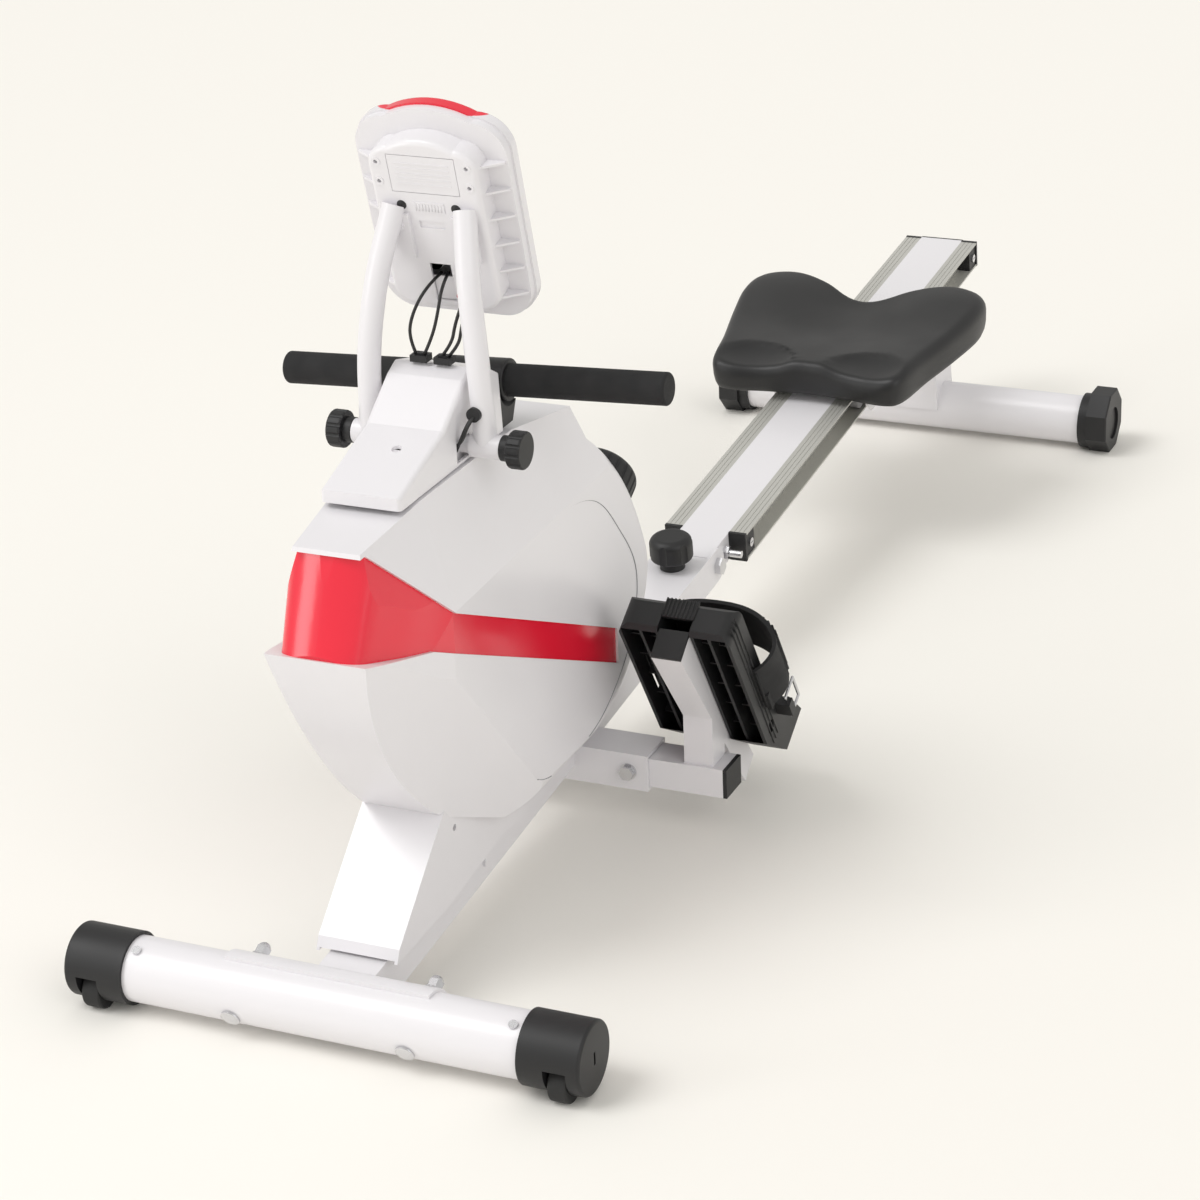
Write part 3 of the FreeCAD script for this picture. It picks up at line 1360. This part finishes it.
def rear_foot():
    """Rear cross tube with the tapered box post that carries the rail."""
    y, z = rear_axis_y, rear_axis_z
    tube = rod_x(foot_tube_r, -rear_tube_half, rear_tube_half, y, z)
    top_z = slope_top(y) + 20
    lower = [V(-38, y - 32, z), V(38, y - 32, z), V(38, y + 32, z), V(-38, y + 32, z)]
    upper = [V(-26, y - 27, top_z), V(26, y - 27, top_z), V(26, y + 27, top_z), V(-26, y + 27, top_z)]
    post = Part.makeLoft([Part.makePolygon(lower + lower[:1]), Part.makePolygon(upper + upper[:1])], True, True)
    w = 2.5
    lower_in = [V(p.x - math.copysign(w, p.x), p.y - math.copysign(w, p.y - y), p.z - 1) for p in lower]
    upper_in = [V(p.x - math.copysign(w, p.x), p.y - math.copysign(w, p.y - y), p.z + 1) for p in upper]
    post_in = Part.makeLoft([Part.makePolygon(lower_in + lower_in[:1]),
                             Part.makePolygon(upper_in + upper_in[:1])], True, True)
    above = on_slope(box(-100, 100, 1000, 2000, -rail_high, 300))
    post = post.cut(post_in).cut(above).cut(rod_x(foot_tube_r, -100, 100, y, z))
    below = box(-100, 100, y - 100, y + 100, -10, z + 3)
    post = post.cut(below)
    foot = tube.fuse(post).removeSplitter()
    return foot.cut(rod_x(foot_tube_r - steel_wall, -300, 300, y, z))


def levelling_cap(sign):
    """Round collar with an off-centre eight-sided ring: turning it raises or lowers the foot."""
    y, z = rear_axis_y, rear_axis_z
    collar = rod_x(level_collar_r, level_cap_in, level_ring_in + 1, y, z)
    centre_z = level_ring_flats / 2
    radius = level_ring_flats / 2 / math.cos(math.pi / 8)
    ring_points = []
    for k in range(8):
        a = math.pi / 8 + k * math.pi / 4
        ring_points.append((y + radius * math.cos(a), centre_z + radius * math.sin(a)))
    ring = side_solid(ring_points, level_ring_in, level_cap_out)
    ring = round_edges(ring, 2.0, lambda e: e.BoundBox.XMin > level_cap_out - 0.1)
    cap = join([collar, ring])
    cap = cap.cut(rod_x(foot_tube_r + running_gap, level_cap_in - 1, rear_tube_half + 1, y, z))
    cap = cap.cut(rod_x(20, level_cap_out - 3, level_cap_out + 1, y, z))
    return sided(cap, sign)


# ---------------------------------------------------------------- seat
def seat_cushion():
    """Moulded cushion: narrow in front, wide behind, with a notch in its rear edge."""
    half = [(0, -126), (55, -131), (98, -136), (117, -122), (128, -62), (142, 5), (151, 70), (141, 108),
            (105, 122), (60, 109), (25, 89), (0, 83)]
    left = [(-x, y) for x, y in reversed(half[1:-1])]
    curve = Part.BSplineCurve()
    curve.interpolate([V(x, seat_s + y, seat_rise) for x, y in half + left], True)
    body = Part.Face(Part.Wire([curve.toShape()])).extrude(V(0, 0, seat_thick))
    body = round_edges(body, 12, lambda e: e.BoundBox.ZMin > seat_rise + seat_thick - 1)
    return on_slope(body)


def seat_carriage():
    """Steel saddle under the cushion with two side plates that hold the roller bolts."""
    long_half = roller_spread + 18
    top = box(-carriage_x - carriage_plate, carriage_x + carriage_plate, seat_s - long_half, seat_s + long_half,
              seat_rise - pan_thick, seat_rise)
    pieces = [top]
    for name, sign in SIDES:
        x0 = min(sign * carriage_x, sign * (carriage_x + carriage_plate))
        side = side_solid([(seat_s - long_half, seat_rise - 1), (seat_s - long_half, -16),
                           (seat_s - long_half + 12, -28), (seat_s + long_half - 12, -28),
                           (seat_s + long_half, -16), (seat_s + long_half, seat_rise - 1)],
                          x0, x0 + carriage_plate)
        pieces.append(side)
    saddle = join(pieces)
    holes = [rod_x(seat_bolt_r, -80, 80, seat_s + e * roller_spread, roller_t) for e in (-1, 1)]
    windows = box(-28, 28, seat_s - 40, seat_s + 40, -20, 40)
    return on_slope(cut(saddle, holes + [windows]))


def seat_rollers(end):
    """A pair of rollers on one line, one in each channel."""
    s = seat_s + end * roller_spread
    x0 = rail_half + channel_wall + 2.2
    rollers = []
    for name, sign in SIDES:
        roller = rod_x(roller_r, x0, x0 + roller_wide, s, roller_t)
        roller = round_edges(roller, 1.5, lambda e: True)
        roller = roller.cut(rod_x(seat_bolt_r + running_gap, 0, 100, s, roller_t))
        rollers.append(sided(on_slope(roller), sign))
    return group(rollers)


def seat_bolts():
    """Roller bolts with a shoulder inside the channel and a hexagon head outside."""
    bolts = []
    x0 = rail_half + channel_wall + 0.6
    outer = carriage_x + carriage_plate
    for end in (-1, 1):
        s = seat_s + end * roller_spread
        shank = rod_x(seat_bolt_r, x0, outer + 0.5, s, roller_t)
        tip = rod_x(6, x0, x0 + 1.3, s, roller_t)
        spacer = rod_x(6.5, x0 + 1.9 + roller_wide, carriage_x, s, roller_t)
        head = hexagon(13, V(outer, s, roller_t), X_AXIS, 5.5)
        bolt = on_slope(join([shank, tip, spacer, head]))
        bolts.append(bolt)
        bolts.append(mirrored(bolt))
    return group(bolts)


def build_all():
    add("front_foot_tube", front_foot_tube())
    for name, sign in SIDES:
        add("front_cap_" + name, front_cap(sign))
        add("transport_wheel_" + name, transport_wheel(sign))
    add("main_frame", main_frame())
    add("mast", mast())
    add("flywheel", flywheel())
    add("drive_axles", group([axle(flywheel_y, flywheel_z), axle(drive_y, drive_z), guide_pin(), magnet_pin()]))
    add("strap_drum", strap_drum())
    add("drive_pulley", drive_pulley())
    add("drive_belt", drive_belt())
    add("magnet_bracket", magnet_bracket())
    add("guide_roller", guide_roller())
    add("pull_strap", pull_strap())
    add("resistance_knob", resistance_knob())
    for name, sign in SIDES:
        add("housing_" + name, housing_half(sign))
        add("band_" + name, band_half(sign))
    add("head_cover", head_cover())
    add("handle_cradle", handle_cradle())
    add("handle_bar", handle_bar())
    add("handle_grips", handle_grips())
    add("handle_centre", handle_centre())
    add("console_back", console_back())
    add("console_front", console_front())
    add("console_lens", console_lens())
    for name, sign in SIDES:
        add("console_button_" + name, console_button(sign))
        add("pivot_knob_" + name, pivot_knob(sign))
    add("battery_door", battery_door())
    fork = console_fork()
    leads = console_leads(fork, PARTS["console_back"])
    add("console_fork", fork)
    add("console_leads", leads)
    add("lead_connectors", lead_connectors(leads))
    add("foot_bar", foot_bar())
    add("foot_bar_plugs", foot_bar_plugs())
    steel = bar_bolts() + [carriage_bolt(p) for p in bolt_starts()]
    steel += [wheel_pin(sign) for name, sign in SIDES] + [cap_screw(sign) for name, sign in SIDES]
    add("frame_bolts", group(steel))
    for name, sign in SIDES:
        add("footplate_" + name, join([footplate(sign), ring_lug(sign)]))
        add("foot_strap_" + name, foot_strap(sign))
        add("strap_ring_" + name, strap_ring(sign))
        add("rail_channel_" + name, rail_channel(sign))
        add("levelling_cap_" + name, levelling_cap(sign))
    add("rail_beam", rail_beam())
    add("rail_end_plugs", rail_end_plugs())
    add("rail_bolts", rail_bolts())
    add("fold_bolt", fold_bolt())
    add("lock_knob", lock_knob())
    add("rear_foot", rear_foot())
    add("seat_cushion", seat_cushion())
    add("seat_carriage", seat_carriage())
    add("seat_rollers_front", seat_rollers(-1))
    add("seat_rollers_rear", seat_rollers(1))
    add("seat_bolts", seat_bolts())


def middle_y():
    """Middle of the whole machine along the floor, from its front cap to the rail's far end."""
    rear = slope_point(rail_end + 3, -rail_high)
    return (rear.y - front_cap_r) / 2


def export_all():
    os.makedirs("parts", exist_ok=True)
    shift = V(0, -middle_y(), 0)
    print("origin is at working Y", round(middle_y(), 4))
    for name, shape in sorted(PARTS.items()):
        shape.translate(shift)
        shape.exportStep("parts/" + name + ".step")
        valid = shape.isValid()
        print(name, len(shape.Solids), round(shape.Volume / 1000.0, 1), "cm3", "" if valid else "NOT VALID")


build_all()
export_all()
